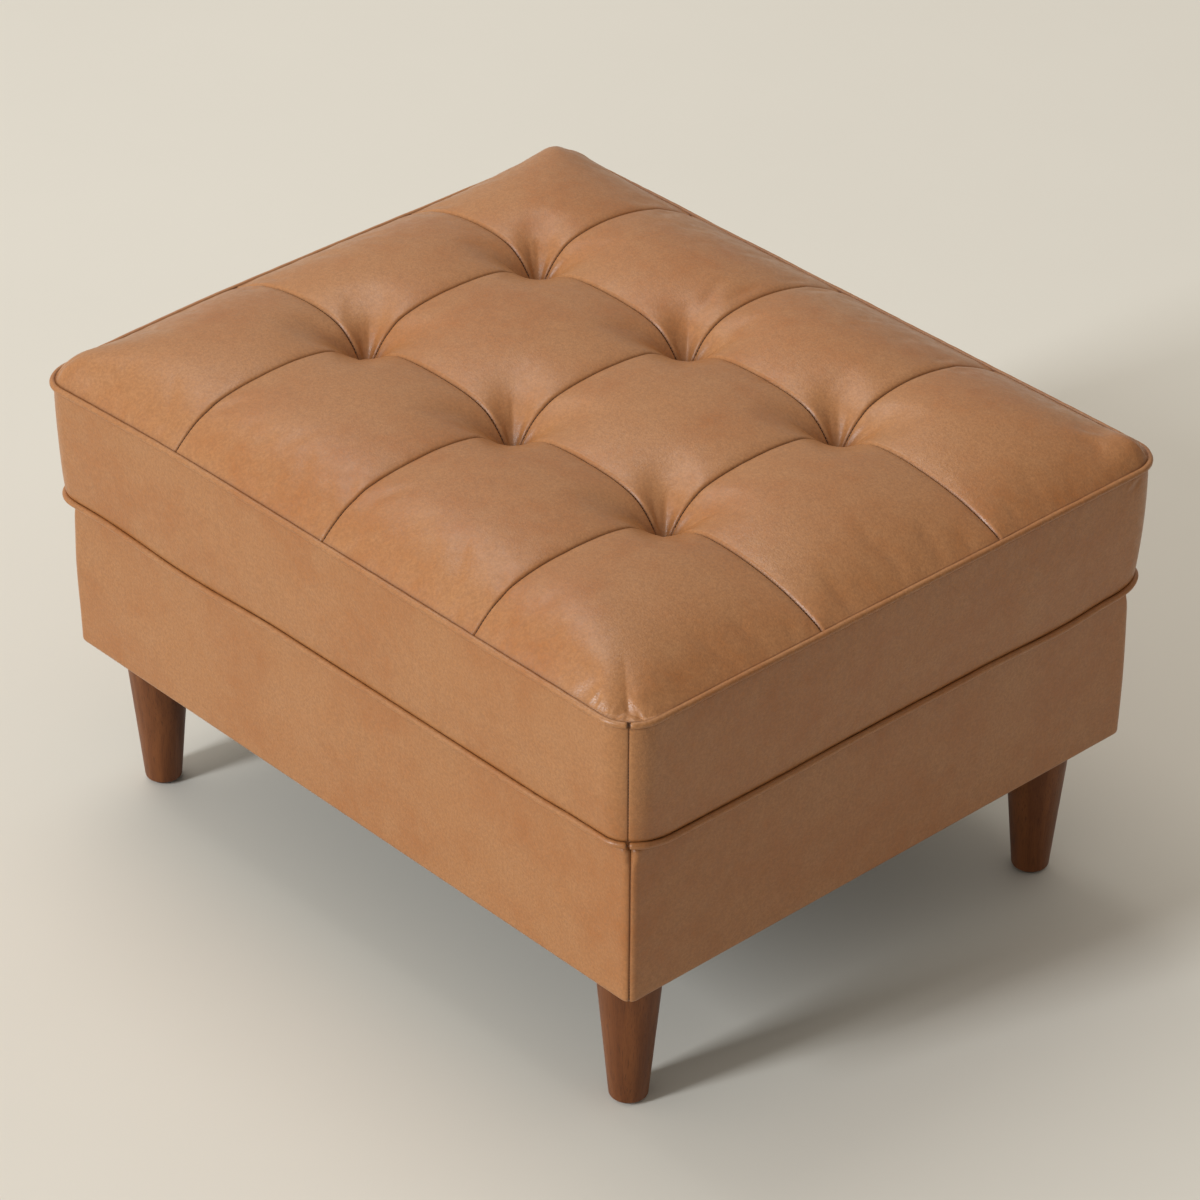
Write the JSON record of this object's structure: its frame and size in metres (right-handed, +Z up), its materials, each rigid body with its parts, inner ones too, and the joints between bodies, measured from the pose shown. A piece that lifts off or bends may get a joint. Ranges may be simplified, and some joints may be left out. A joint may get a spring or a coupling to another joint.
{
  "type": "tufted ottoman",
  "caption": "Low rectangular ottoman: loose box cushion with a blind-tufted top and piped edges on an upholstered base with tapered round wooden legs.",
  "frame": {"origin": "on the floor under the middle of the ottoman", "axes": "+X along the long side, +Y to the back, +Z up"},
  "size_m": [0.78, 0.638, 0.4837],
  "materials": {
    "tan_leather": "satin, lightly mottled",
    "stained_wood": "walnut stain, satin lacquer",
    "frame_wood": "bare pine",
    "foam": "open-cell foam",
    "fibre": "loose polyester fibre",
    "black_cloth": "spun-bonded lining cloth",
    "deck_cloth": "natural canvas",
    "webbing": "elastic webbing",
    "zinc_steel": "bright zinc plate",
    "nylon": "moulded",
    "twine": "waxed brown cord",
    "washer_plastic": "moulded"
  },
  "bodies": {
    "base": {"base_panel_back": "tan_leather", "base_panel_front": "tan_leather", "base_panel_left": "tan_leather", "base_panel_right": "tan_leather", "centre_rail": "frame_wood", "corner_blocks": "frame_wood", "deck_cloth": "deck_cloth", "deck_cover": "black_cloth", "deck_pad": "foam", "dust_cover": "black_cloth", "glide_back_left": "nylon", "glide_back_right": "nylon", "glide_front_left": "nylon", "glide_front_right": "nylon", "hanger_bolts": "zinc_steel", "leg_back_left": "stained_wood", "leg_back_right": "stained_wood", "leg_front_left": "stained_wood", "leg_front_right": "stained_wood", "leg_plates": "zinc_steel", "padding_back": "foam", "padding_front": "foam", "padding_left": "foam", "padding_right": "foam", "plate_screws": "zinc_steel", "rail_back": "frame_wood", "rail_front": "frame_wood", "rail_left": "frame_wood", "rail_right": "frame_wood", "rail_screws": "zinc_steel", "webbing_cross": "webbing", "webbing_long": "webbing"},
    "cushion": {"bottom_panel": "tan_leather", "bottom_welt": "tan_leather", "bottom_welt_cord": "twine", "boxing_back": "tan_leather", "boxing_front": "tan_leather", "boxing_left": "tan_leather", "boxing_right": "tan_leather", "fibre_fill": "fibre", "foam_core": "foam", "top_panels": "tan_leather", "top_welt": "tan_leather", "top_welt_cord": "twine", "tuft_ties": "twine", "tuft_washers": "washer_plastic"}
  },
  "joints": [
    {"name": "cushion_lift", "type": "slide", "parent": "base", "child": "cushion", "axis": [0, 0, 1], "range_m": [0, 0.22]}
  ]
}
